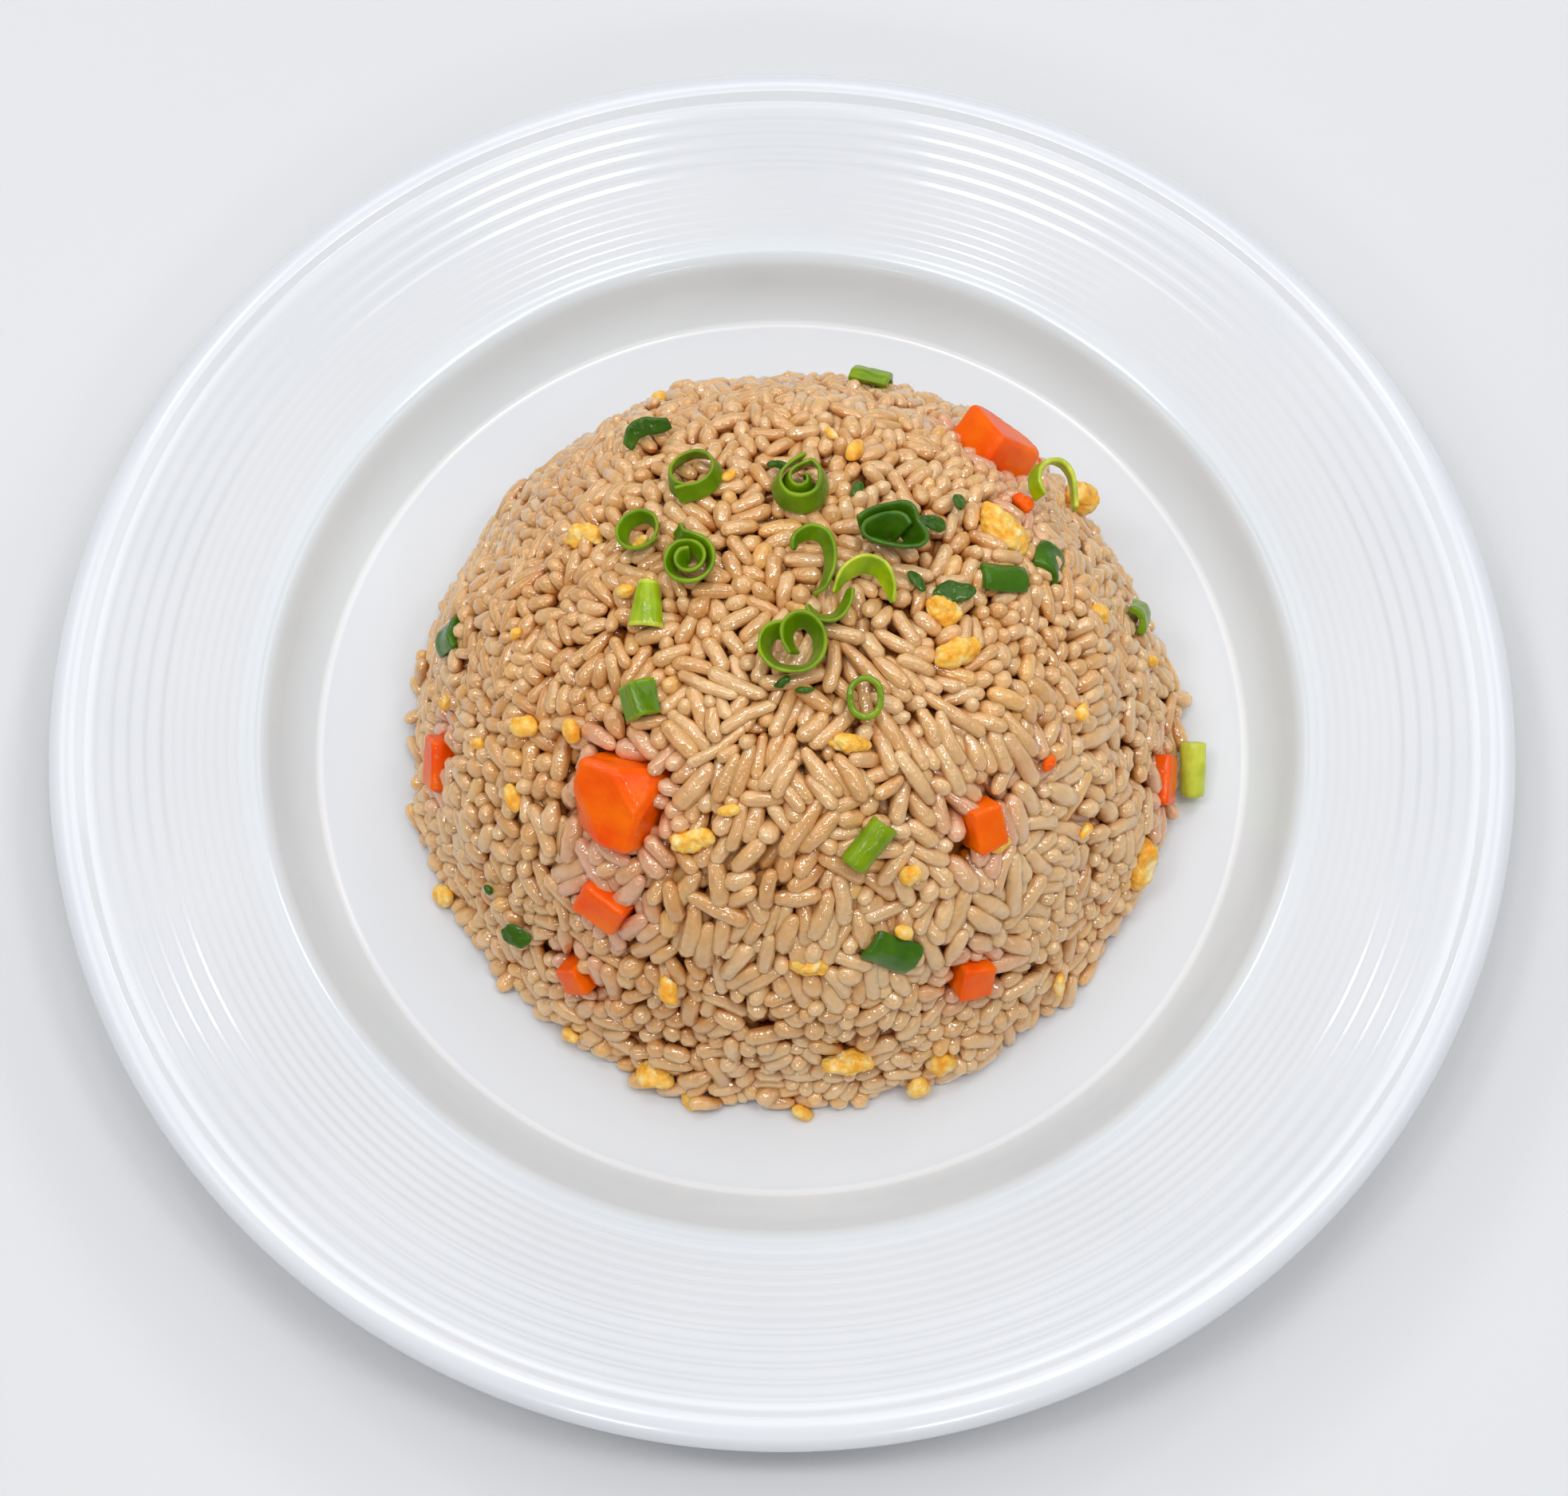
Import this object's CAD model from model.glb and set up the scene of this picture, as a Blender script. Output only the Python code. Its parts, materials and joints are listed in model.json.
import json
import math

import bmesh
import bpy
import numpy as np
from mathutils import Matrix, Vector
from mathutils.bvhtree import BVHTree


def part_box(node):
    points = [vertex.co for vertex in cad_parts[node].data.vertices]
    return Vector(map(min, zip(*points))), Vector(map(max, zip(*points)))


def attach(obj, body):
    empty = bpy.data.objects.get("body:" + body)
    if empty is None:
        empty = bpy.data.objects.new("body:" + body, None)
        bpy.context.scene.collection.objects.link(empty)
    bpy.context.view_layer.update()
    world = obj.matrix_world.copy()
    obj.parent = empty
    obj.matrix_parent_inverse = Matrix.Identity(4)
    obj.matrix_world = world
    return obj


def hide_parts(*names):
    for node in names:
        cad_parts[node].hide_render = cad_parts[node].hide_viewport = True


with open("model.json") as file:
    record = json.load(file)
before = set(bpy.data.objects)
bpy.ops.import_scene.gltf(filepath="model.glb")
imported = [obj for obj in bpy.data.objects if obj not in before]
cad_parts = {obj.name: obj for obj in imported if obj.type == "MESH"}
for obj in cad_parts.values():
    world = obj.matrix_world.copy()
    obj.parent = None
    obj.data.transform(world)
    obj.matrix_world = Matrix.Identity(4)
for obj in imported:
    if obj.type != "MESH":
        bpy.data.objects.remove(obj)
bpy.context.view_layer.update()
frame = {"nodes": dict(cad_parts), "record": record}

MM = 0.001

# ---- measures, in millimetres, from the frame where it has them ----


def box_mm(node):
    low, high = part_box(node)
    return np.array(low) / MM, np.array(high) / MM


plate_low, plate_high = box_mm("plate")
_, heap_high = box_mm("rice_heap")
PLATE_RADIUS = 0.5 * (plate_high[0] - plate_low[0])
FLOOR = 6.5
WELL_RADIUS = 73.8
WELL_BEND = 1.6
WALL_FOOT_SLOPE = 34.0
WALL_HOLLOW = 19.0
WALL_TOP_SLOPE = 58.0
SHOULDER_BEND = 4.5
RIM_START = np.array((84.2, 16.0))
RIM_SLOPE = 10.5
RIDGES = ((8, 1.6, 0.11), (5, 2.5, 0.24))  # how many, how far apart, how high
RIDGE_POINTS = 6
WELL_RINGS = (0.0, 20.0, 40.0, 55.0, 63.0, 70.0)
LIP_CENTRE = np.array((111.0, 19.6))
LIP_HALF_HEIGHT = 2.5
THICKNESS = 4.4
FOOT_INNER = 62.5
FOOT_OUTER = 66.0
FOOT_RECESS = 2.1
UNDER_RINGS = (60.6, 58.0, 40.0, 20.0, 0.0)
TURN_STEPS = 240

HEAP_CENTRE = np.array((2.0, -0.5))
HEAP_BASE = FLOOR
HEAP_RADIUS = 61.8
HEAP_HEIGHT = heap_high[2] - FLOOR
CROWN_POWER = 1.2
SIDE_POWER = 3.0
CORE_DEPTH = 5.0


# ---- making and keeping pieces ----


def deselect():
    bpy.ops.object.select_all(action="DESELECT")


def only(piece):
    deselect()
    piece.select_set(True)
    bpy.context.view_layer.objects.active = piece
    return piece


def added(name):
    """The piece that a primitive operator has just made, named."""
    piece = bpy.context.active_object
    piece.name = name
    piece.data.name = name
    return piece


def settle(piece):
    """Puts the piece's place, turn and size into its mesh."""
    only(piece)
    bpy.ops.object.transform_apply(location=True, rotation=True, scale=True)
    return piece


def apply_all(piece):
    only(piece)
    for modifier in list(piece.modifiers):
        bpy.ops.object.modifier_apply(modifier=modifier.name)
    return piece


def keep(piece, material, slot, *nodes):
    """Finishes a piece: its material, its slot, its body and the solids it stands for."""
    piece.data.materials.clear()
    piece.data.materials.append(material)
    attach(piece, "root")
    if nodes:
        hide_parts(*nodes)
    return piece


def mesh_arrays(mesh):
    points = np.empty(len(mesh.vertices) * 3)
    mesh.vertices.foreach_get("co", points)
    return points.reshape(-1, 3), [tuple(face.vertices) for face in mesh.polygons]


def merged_copy(node, name):
    """A new piece with a solid's shape, its loose triangles joined again."""
    points, faces = mesh_arrays(frame["nodes"][node].data)
    mesh = bpy.data.meshes.new(name)
    mesh.from_pydata(points, [], faces)
    piece = bpy.data.objects.new(name, mesh)
    bpy.context.scene.collection.objects.link(piece)
    only(piece)
    bpy.ops.object.mode_set(mode="EDIT")
    bpy.ops.mesh.select_all(action="SELECT")
    bpy.ops.mesh.remove_doubles(threshold=0.00001)
    bpy.ops.mesh.tris_convert_to_quads(face_threshold=0.5, shape_threshold=1.2)
    bpy.ops.object.mode_set(mode="OBJECT")
    return piece


# ---- materials ----


def blank_material(name):
    material = bpy.data.materials.new(name)
    material.use_nodes = True
    nodes = material.node_tree.nodes
    return material, nodes, material.node_tree.links, nodes["Principled BSDF"]


def node(nodes, kind, **values):
    made = nodes.new(kind)
    for key, value in values.items():
        if key in made.inputs:
            made.inputs[key].default_value = value
        else:
            setattr(made, key, value)
    return made


def ramp(nodes, stops):
    made = nodes.new("ShaderNodeValToRGB")
    elements = made.color_ramp.elements
    while len(elements) < len(stops):
        elements.new(0.5)
    for element, (position, colour) in zip(elements, stops):
        element.position = position
        element.color = (*colour, 1.0)
    return made


def mix(nodes, links, factor, first, second, blend="MIX"):
    """Mixes two colours; each of the three is a socket or a value."""
    made = nodes.new("ShaderNodeMix")
    made.data_type = "RGBA"
    made.blend_type = blend
    for index, value in ((0, factor), (6, first), (7, second)):
        socket = made.inputs[index]
        if isinstance(value, bpy.types.NodeSocket):
            links.new(value, socket)
        elif isinstance(value, tuple):
            socket.default_value = (*value, 1.0)
        else:
            socket.default_value = value
    return made.outputs[2]


def place_noise(nodes, links, scale, detail=3.0, roughness=0.5):
    """Noise on the object's own coordinates, with scale in waves a metre."""
    place = nodes.new("ShaderNodeTexCoord")
    made = node(nodes, "ShaderNodeTexNoise", Scale=scale, Detail=detail, Roughness=roughness)
    links.new(place.outputs["Object"], made.inputs["Vector"])
    return made


def cloudy(nodes, links, scale, stops, detail=3.0, roughness=0.5):
    """A colour that drifts between stops, by noise on the object's own coordinates."""
    cloud = place_noise(nodes, links, scale, detail, roughness)
    tone = ramp(nodes, stops)
    links.new(cloud.outputs["Fac"], tone.inputs["Fac"])
    return tone.outputs["Color"]


def bump(nodes, links, shader, height, strength, distance):
    made = node(nodes, "ShaderNodeBump", Strength=strength, Distance=distance)
    links.new(height, made.inputs["Height"])
    links.new(made.outputs["Normal"], shader.inputs["Normal"])
    return made


def wet_bump(nodes, links, shader, scale, detail, strength, distance):
    """Small unevenness that the skin and the wet film over it share."""
    dents = place_noise(nodes, links, scale, detail)
    skin = bump(nodes, links, shader, dents.outputs["Fac"], strength, distance)
    links.new(skin.outputs["Normal"], shader.inputs["Coat Normal"])


def set_shader(shader, **values):
    for key, value in values.items():
        shader.inputs[key.replace("_", " ")].default_value = value


PLAIN = (1.0, 1.0, 1.0)
WELL_RING = (1.32, 1.33, 1.33)
# How much lighter the glaze is at each radius in millimetres: ring, wall, rim and lip.
GLAZE_BANDS = (
    (74.0, PLAIN), (74.3125, WELL_RING), (74.6875, WELL_RING), (75.0, (1.10, 1.15, 1.16)),
    (83.0, (1.05, 1.10, 1.11)), (87.0, PLAIN), (107.0, PLAIN), (109.5, (1.13, 1.135, 1.14)),
)
GLAZE_REACH = 125.0  # the radius in millimetres at which the ramp ends


def white_glaze():
    material, nodes, links, shader = blank_material("white_glaze")
    set_shader(shader, Roughness=0.18, IOR=1.5, Coat_Weight=0.3, Coat_Roughness=0.06)
    white = cloudy(
        nodes, links, 22.0, ((0.35, (0.675, 0.690, 0.718)), (0.65, (0.70, 0.713, 0.738))), 2.0
    )
    place = nodes.new("ShaderNodeTexCoord")
    level = node(nodes, "ShaderNodeVectorMath", operation="MULTIPLY")
    level.inputs[1].default_value = (1.0, 1.0, 0.0)
    links.new(place.outputs["Object"], level.inputs[0])
    radius = node(nodes, "ShaderNodeVectorMath", operation="LENGTH")
    links.new(level.outputs["Vector"], radius.inputs[0])
    share = node(nodes, "ShaderNodeMath", operation="MULTIPLY")
    share.inputs[1].default_value = 1.0 / (GLAZE_REACH * MM)
    links.new(radius.outputs["Value"], share.inputs[0])
    bands = ramp(nodes, [(radius_mm / GLAZE_REACH, tint) for radius_mm, tint in GLAZE_BANDS])
    links.new(share.outputs["Value"], bands.inputs["Fac"])
    colour = mix(nodes, links, 1.0, white, bands.outputs["Color"], "MULTIPLY")
    links.new(colour, shader.inputs["Base Color"])
    ripple = place_noise(nodes, links, 60.0, 1.0)
    bump(nodes, links, shader, ripple.outputs["Fac"], 0.05, 0.0004)
    return material


def cooked_rice():
    """Reads each grain's own shade: red is how pale, green how deep, blue pink, alpha yellow."""
    material, nodes, links, shader = blank_material("cooked_rice")
    set_shader(
        shader, Roughness=0.35, IOR=1.42, Specular_IOR_Level=0.15, Subsurface_Weight=0.5,
        Subsurface_Scale=0.0008, Subsurface_Radius=(1.0, 0.75, 0.5), Coat_Weight=1.0,
        Coat_Roughness=0.08, Coat_IOR=1.8,
    )
    shade = nodes.new("ShaderNodeVertexColor")
    shade.layer_name = "grain_shade"
    parts = nodes.new("ShaderNodeSeparateColor")
    links.new(shade.outputs["Color"], parts.inputs["Color"])
    tone = ramp(
        nodes,
        ((0.0, (0.68, 0.33, 0.10)), (0.45, (0.74, 0.415, 0.155)), (1.0, (0.82, 0.55, 0.28))),
    )
    links.new(parts.outputs["Red"], tone.inputs["Fac"])
    mottle = cloudy(nodes, links, 420.0, ((0.3, (0.90, 0.88, 0.85)), (0.7, (1.06, 1.05, 1.04))), 2.0)
    colour = mix(nodes, links, 1.0, tone.outputs["Color"], mottle, "MULTIPLY")
    colour = mix(nodes, links, parts.outputs["Blue"], colour, (0.74, 0.36, 0.26))
    colour = mix(nodes, links, shade.outputs["Alpha"], colour, (0.86, 0.48, 0.13))
    colour = mix(nodes, links, parts.outputs["Green"], colour, (0.46, 0.12, 0.0))
    links.new(colour, shader.inputs["Base Color"])
    wet_bump(nodes, links, shader, 1150.0, 1.0, 0.6, 0.0003)
    return material


def rice_core():
    material, nodes, links, shader = blank_material("rice_core")
    set_shader(shader, Roughness=0.6)
    colour = cloudy(nodes, links, 260.0, ((0.35, (0.40, 0.115, 0.0)), (0.65, (0.60, 0.21, 0.01))))
    links.new(colour, shader.inputs["Base Color"])
    return material


def wet_carrot():
    material, nodes, links, shader = blank_material("wet_carrot")
    set_shader(
        shader, Roughness=0.4, Specular_IOR_Level=0.08, Subsurface_Weight=0.2,
        Subsurface_Scale=0.001, Subsurface_Radius=(1.0, 0.3, 0.05), Coat_Weight=0.4,
        Coat_Roughness=0.07,
    )
    colour = cloudy(nodes, links, 170.0, ((0.3, (0.93, 0.085, 0.0)), (0.7, (1.0, 0.17, 0.0))))
    links.new(colour, shader.inputs["Base Color"])
    wet_bump(nodes, links, shader, 800.0, 3.0, 0.5, 0.0003)
    return material


def soft_egg():
    material, nodes, links, shader = blank_material("soft_egg")
    set_shader(
        shader, Roughness=0.4, Specular_IOR_Level=0.3, Subsurface_Weight=0.4,
        Subsurface_Scale=0.0012, Subsurface_Radius=(1.0, 0.6, 0.2), Coat_Weight=0.3,
        Coat_Roughness=0.15,
    )
    stops = (
        (0.3, (0.92, 0.35, 0.012)), (0.46, (0.98, 0.50, 0.05)), (0.58, (1.0, 0.63, 0.15)),
        (0.74, (1.0, 0.84, 0.52)),
    )
    links.new(cloudy(nodes, links, 480.0, stops, 3.0, 0.6), shader.inputs["Base Color"])
    wet_bump(nodes, links, shader, 1100.0, 3.0, 0.45, 0.0004)
    return material


def scallion_skin(name, wall, rim):
    """Slice edge reads 0 on the leaf's own skin and 1 where the knife went through."""
    material, nodes, links, shader = blank_material(name)
    set_shader(
        shader, Roughness=0.33, Specular_IOR_Level=0.2, Subsurface_Weight=0.25,
        Subsurface_Scale=0.0008, Subsurface_Radius=(0.7, 1.0, 0.1), Coat_Weight=0.35,
        Coat_Roughness=0.08,
    )
    edge = nodes.new("ShaderNodeAttribute")
    edge.attribute_name = "slice_edge"
    sides = ramp(nodes, ((0.0, wall), (0.55, wall), (0.8, rim), (1.0, rim)))
    links.new(edge.outputs["Fac"], sides.inputs["Fac"])
    mottle = cloudy(nodes, links, 260.0, ((0.3, (0.82, 0.88, 0.5)), (0.7, (1.5, 1.36, 1.3))))
    colour = mix(nodes, links, 1.0, sides.outputs["Color"], mottle, "MULTIPLY")
    links.new(colour, shader.inputs["Base Color"])
    wet_bump(nodes, links, shader, 1100.0, 2.0, 0.3, 0.0002)
    return material


def studio_floor():
    material, nodes, links, shader = blank_material("studio_floor")
    set_shader(shader, Roughness=0.8)
    colour = cloudy(nodes, links, 3.0, ((0.3, (0.72, 0.72, 0.73)), (0.7, (0.75, 0.75, 0.76))), 2.0)
    links.new(colour, shader.inputs["Base Color"])
    return material


# ---- plate ----


def arc(centre, half_width, half_height, start, end, steps):
    """Points on an ellipse about centre, from the start angle to the end angle."""
    angles = np.radians(np.linspace(start, end, steps + 1))
    return [centre + (half_width * math.cos(a), half_height * math.sin(a)) for a in angles]


def rim_height(radius):
    return RIM_START[1] + (radius - RIM_START[0]) * math.tan(math.radians(RIM_SLOPE))


def rim_ridges():
    points = []
    radius = RIM_START[0]
    for count, pitch, crest in RIDGES:
        for _ in range(count):
            for step in range(1, RIDGE_POINTS + 1):
                share = step / RIDGE_POINTS
                swell = 0.5 * crest * (1.0 - math.cos(2.0 * math.pi * share))
                place = radius + pitch * share
                points.append(np.array((place, rim_height(place) + swell)))
            radius += pitch
    return points


def below(point, slope):
    angle = math.radians(slope)
    return point + THICKNESS * np.array((math.sin(angle), -math.cos(angle)))


def plate_profile():
    """Half section, from the middle of the well out over the rim and back underneath."""
    well = [np.array((radius, FLOOR)) for radius in WELL_RINGS]
    bend = arc(
        np.array((WELL_RADIUS, FLOOR + WELL_BEND)),
        WELL_BEND, WELL_BEND, -90, -90 + WALL_FOOT_SLOPE, 8,
    )
    foot_angle = math.radians(WALL_FOOT_SLOPE)
    hollow_centre = bend[-1] + WALL_HOLLOW * np.array((-math.sin(foot_angle), math.cos(foot_angle)))
    wall = arc(
        hollow_centre, WALL_HOLLOW, WALL_HOLLOW, -90 + WALL_FOOT_SLOPE, -90 + WALL_TOP_SLOPE, 16
    )
    tilt = math.radians(RIM_SLOPE)
    shoulder_centre = RIM_START - SHOULDER_BEND * np.array((-math.sin(tilt), math.cos(tilt)))
    shoulder = arc(
        shoulder_centre, SHOULDER_BEND, SHOULDER_BEND, 90 + WALL_TOP_SLOPE, 90 + RIM_SLOPE, 8
    )
    lip = arc(LIP_CENTRE, PLATE_RADIUS - LIP_CENTRE[0], LIP_HALF_HEIGHT, 100, -100, 22)
    rim_under = below(RIM_START, RIM_SLOPE)
    foot = [
        np.array((FOOT_OUTER + 2.4, FOOT_RECESS + 0.3)),
        np.array((FOOT_OUTER + 1.2, FOOT_RECESS - 0.5)),
    ]
    foot += arc(np.array((FOOT_OUTER - 0.5, 0.5)), 0.8, 0.5, 20, -90, 5)
    foot += arc(np.array((FOOT_INNER + 0.5, 0.5)), 0.8, 0.5, -90, -200, 5)
    foot += [np.array((radius, FOOT_RECESS)) for radius in UNDER_RINGS]
    under = [rim_under, below(wall[12], 50.0), below(wall[5], 36.0)]
    return well + bend + wall[1:] + shoulder + rim_ridges() + lip + under + foot


def make_plate():
    """A profile drawn out from one point, then spun."""
    deselect()
    bpy.ops.mesh.primitive_plane_add(size=MM, location=(0.0, 0.0, 0.0))
    plate = added("ribbed_plate")
    bpy.ops.object.mode_set(mode="EDIT")
    bpy.ops.mesh.select_all(action="SELECT")
    bpy.ops.mesh.merge(type="CENTER")
    points = plate_profile()
    bpy.ops.transform.translate(value=(points[0][0] * MM, 0.0, points[0][1] * MM))
    for last, point in zip(points, points[1:]):
        step = ((point[0] - last[0]) * MM, 0.0, (point[1] - last[1]) * MM)
        bpy.ops.mesh.extrude_region_move(TRANSFORM_OT_translate={"value": step})
    bpy.ops.mesh.select_all(action="SELECT")
    bpy.ops.mesh.spin(steps=TURN_STEPS, angle=2.0 * math.pi, center=(0, 0, 0), axis=(0, 0, 1))
    bpy.ops.mesh.select_all(action="SELECT")
    bpy.ops.mesh.remove_doubles(threshold=0.000002)
    bpy.ops.mesh.normals_make_consistent(inside=False)
    bpy.ops.object.mode_set(mode="OBJECT")
    only(plate)
    bpy.ops.object.shade_smooth()
    return settle(plate)


# ---- the heap's shape ----


def heap_depth(points):
    """How far inside the heap's pressed outline points are, and the way out of it there."""
    level = points[:, :2] - HEAP_CENTRE
    radius = np.maximum(np.hypot(level[:, 0], level[:, 1]), 1e-6)
    rise = np.maximum((points[:, 2] - HEAP_BASE) / HEAP_HEIGHT, 1e-4)
    value = (radius / HEAP_RADIUS) ** SIDE_POWER + rise**CROWN_POWER - 1.0
    out = SIDE_POWER * (radius / HEAP_RADIUS) ** (SIDE_POWER - 1.0) / HEAP_RADIUS
    up = CROWN_POWER * rise ** (CROWN_POWER - 1.0) / HEAP_HEIGHT
    steep = np.hypot(out, up)
    normal = np.column_stack((level * (out / radius / steep)[:, None], up / steep))
    return -value / steep, normal


def heap_section(count):
    """Radius and height of points spread evenly along the heap's half section."""
    rise = np.linspace(0.0, 1.0, 2000) ** 1.5
    radius = HEAP_RADIUS * (1.0 - rise**CROWN_POWER) ** (1.0 / SIDE_POWER)
    height = HEAP_HEIGHT * rise
    run = np.concatenate(([0.0], np.cumsum(np.hypot(np.diff(radius), np.diff(height)))))
    even = np.linspace(0.0, run[-1], count)
    return np.interp(even, run, radius), np.interp(even, run, height)


def smooth_noise(points, size, seed):
    """Soft uneven values from -1 to 1 that change over about size millimetres."""
    draw = np.random.default_rng(seed)
    waves = draw.normal(size=(12, 3)) * 1.6 / size
    starts = draw.uniform(0.0, 2.0 * math.pi, 12)
    return np.sin(points @ waves.T + starts).sum(1) / math.sqrt(12)


# ---- packing the grains ----

GRAIN_RADIUS = 1.28
OUTER_GRAINS = 2250
INNER_GRAINS = 1550
INNER_DEPTH = 2.6
PACK_ROUNDS = 34
FOOT_TRIES = 420
FILL_TRIES = 3000
FILL_ROUNDS = 16
ROUGHNESS = 0.8
TOUCH = 0.8  # grains press into each other a little
# At the front the grains are fatter and fewer: bearing, reach and height of that part.
FRONT_MIDDLE = 4.0
FRONT_REACH = 80.0
FRONT_TOP = HEAP_BASE + 53.0
FRONT_EXTRA = 0.22
FRONT_SHARE = 0.8
# Grains fan out above FAN_HEIGHT and round FAN_MIDDLE, and lie level below LEVEL_HEIGHT.
FAN_HEIGHT = 30.0
FAN_MIDDLE = 8.0
FAN_REACH = 60.0
LEVEL_HEIGHT = 24.0
SHORT_SHARE = 0.35
SHORTEST = 3.4
LONGEST = 11.0
SECTION_POINTS = 400
# How far apart two grains' middles, or a grain's middle and a topping, can be and still meet.
GRAIN_REACH = 9.0
TOPPING_REACH = 6.5
TOPPING_SEARCH = 8.0


def scatter_on_heap(draw, count):
    """Places spread evenly over the heap's outside, with the bearing of each."""
    radius, height = heap_section(SECTION_POINTS)
    steps = np.arange(float(SECTION_POINTS))
    run = np.concatenate(([0.0], np.cumsum(radius[:-1])))
    pick = np.interp(draw.uniform(0.0, run[-1], count), run, steps)
    away = np.interp(pick, steps, radius)
    up = np.interp(pick, steps, height)
    turn = draw.uniform(-math.pi, math.pi, count)
    places = np.column_stack((away * np.sin(turn), -away * np.cos(turn), up + HEAP_BASE))
    places[:, :2] += HEAP_CENTRE
    return places, np.degrees(turn)


def grain_directions(draw, places, bearings, normals):
    """Grains fan out over the front of the crown, lie level round the foot, else any way."""
    count = len(places)
    level = np.column_stack(
        (np.cos(np.radians(bearings)), np.sin(np.radians(bearings)), np.zeros(count))
    )
    upward = np.cross(normals, level)
    height = places[:, 2] - HEAP_BASE
    angle = draw.uniform(0.0, math.pi, count)
    fan = (height > FAN_HEIGHT) & (np.abs(bearings - FAN_MIDDLE) < FAN_REACH)
    angle[fan] = math.pi / 2.0 + draw.normal(0.0, 0.75, fan.sum())
    foot = height < LEVEL_HEIGHT
    angle[foot] = draw.normal(0.0, 0.6, foot.sum())
    lie = level * np.cos(angle)[:, None] + upward * np.sin(angle)[:, None]
    return lie / np.linalg.norm(lie, axis=1)[:, None], fan


def lay_grains(draw, count, layer_depth, tilted, shrink=1.0):
    """Grains laid on the heap at random, layer_depth millimetres under its outside."""
    places, turn = scatter_on_heap(draw, count)
    _, normals = heap_depth(places)
    lie, fan = grain_directions(draw, places, turn, normals)
    length = np.where(
        draw.uniform(size=count) < SHORT_SHARE,
        draw.uniform(3.6, 4.8, count),
        draw.normal(6.0, 0.8, count),
    )
    length[fan] = draw.normal(7.4, 1.5, fan.sum())
    length = np.clip(length * shrink, SHORTEST, LONGEST)
    radius = np.clip(draw.normal(GRAIN_RADIUS, 0.12, count), 0.95, 1.6)
    radius += np.where(length < 5.0, 0.12, 0.0)
    front = (np.abs(turn - FRONT_MIDDLE) < FRONT_REACH) & (places[:, 2] < FRONT_TOP)
    radius += np.where(front, FRONT_EXTRA, 0.0)
    share = np.where(fan, 0.5 * tilted, tilted)
    tilt = np.where(
        draw.uniform(size=count) < share,
        draw.uniform(0.25, 1.25, count),
        draw.uniform(-0.05, 0.2, count),
    )
    depth = radius + layer_depth + draw.uniform(-0.35, 0.6, count)
    half = np.maximum(0.5 * length - radius, 0.35)
    down = lie * np.cos(tilt)[:, None] - normals * np.sin(tilt)[:, None]
    centre = places - normals * (depth + half * np.sin(tilt))[:, None]
    grains = {
        "head": centre - down * half[:, None],
        "tail": centre + down * half[:, None],
        "radius": radius,
        "half": half,
        "head_depth": depth,
        "tail_depth": depth + 2.0 * half * np.sin(tilt),
        "fan": fan,
        "inner": np.full(count, layer_depth > 1.0),
    }
    return chosen_grains(grains, ~front | (draw.uniform(size=count) < FRONT_SHARE))


def chosen_grains(grains, chosen):
    return {key: values[chosen] for key, values in grains.items()}


def with_more(grains, more):
    return {key: np.concatenate((values, more[key])) for key, values in grains.items()}


def segment_contacts(head_a, tail_a, head_b, tail_b):
    """Where two segments are closest: the share along each, for many pairs at once."""
    along_a = tail_a - head_a
    along_b = tail_b - head_b
    between = head_a - head_b
    aa = (along_a * along_a).sum(1)
    bb = (along_b * along_b).sum(1)
    ab = (along_a * along_b).sum(1)
    a_gap = (along_a * between).sum(1)
    b_gap = (along_b * between).sum(1)
    share_a = np.clip((ab * b_gap - a_gap * bb) / np.maximum(aa * bb - ab * ab, 1e-6), 0.0, 1.0)
    share_b = np.clip((ab * share_a + b_gap) / np.maximum(bb, 1e-6), 0.0, 1.0)
    share_a = np.clip((ab * share_b - a_gap) / np.maximum(aa, 1e-6), 0.0, 1.0)
    return share_a, share_b


def near_pairs(first, second, reach, once):
    """Index pairs closer than reach, found slab by slab; once drops a pair's second mention."""
    found_a = []
    found_b = []
    for start in range(0, len(first), 500):
        part = first[start : start + 500]
        gap = (part**2).sum(1)[:, None] + (second**2).sum(1)[None] - 2.0 * part @ second.T
        a, b = np.nonzero(gap < reach * reach)
        a += start
        kept = a < b if once else np.ones(len(a), bool)
        found_a.append(a[kept])
        found_b.append(b[kept])
    return np.concatenate(found_a), np.concatenate(found_b)


def add_up(total, index, moves):
    for axis in range(3):
        total[:, axis] += np.bincount(index, moves[:, axis], len(total))


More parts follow.
